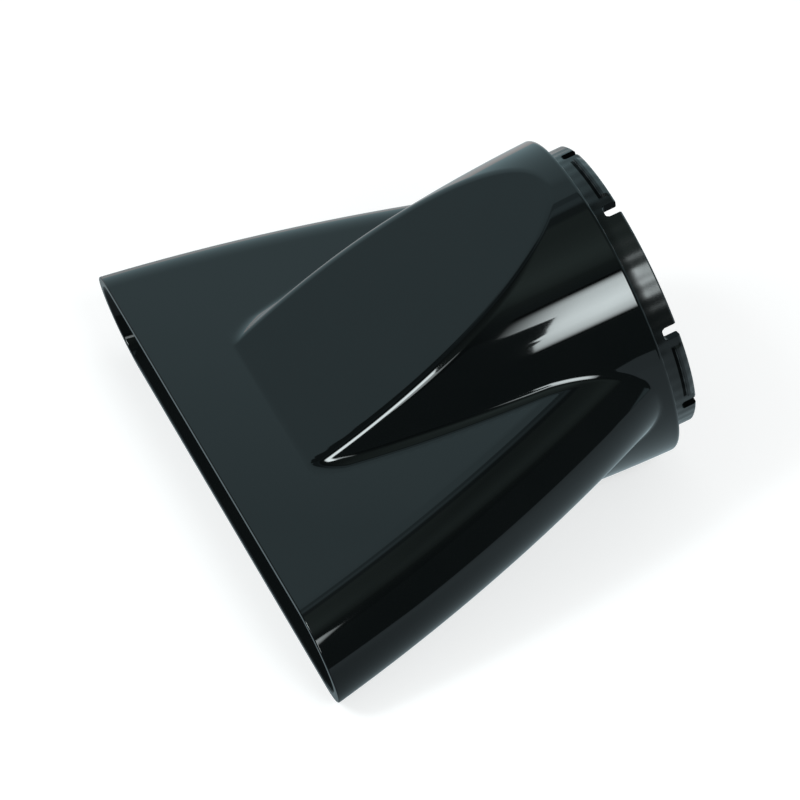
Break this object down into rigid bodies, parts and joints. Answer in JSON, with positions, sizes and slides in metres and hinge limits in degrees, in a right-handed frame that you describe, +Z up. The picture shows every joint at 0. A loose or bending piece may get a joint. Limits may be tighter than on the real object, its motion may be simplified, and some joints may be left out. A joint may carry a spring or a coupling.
{
  "type": "hair dryer concentrator nozzle",
  "caption": "Concentrator nozzle for a hair dryer: a round collar with snap tabs narrows through sloping flats into a wide slot outlet. Hollow gloss black moulding.",
  "frame": {"origin": "on the table under the middle of the bounding box, with the nozzle lying on its lower outlet lip and on the underside of its barrel", "axes": "+X level from the outlet towards the collar, +Y along the outlet's width, away from the viewer, +Z up. The nozzle's own axis rises 15.236 degrees towards the collar."},
  "size_m": [0.0692, 0.09, 0.0464],
  "materials": {
    "gloss_black": "polished black injection moulding"
  },
  "bodies": {
    "root": {"nozzle_body": "gloss_black"}
  },
  "joints": []
}
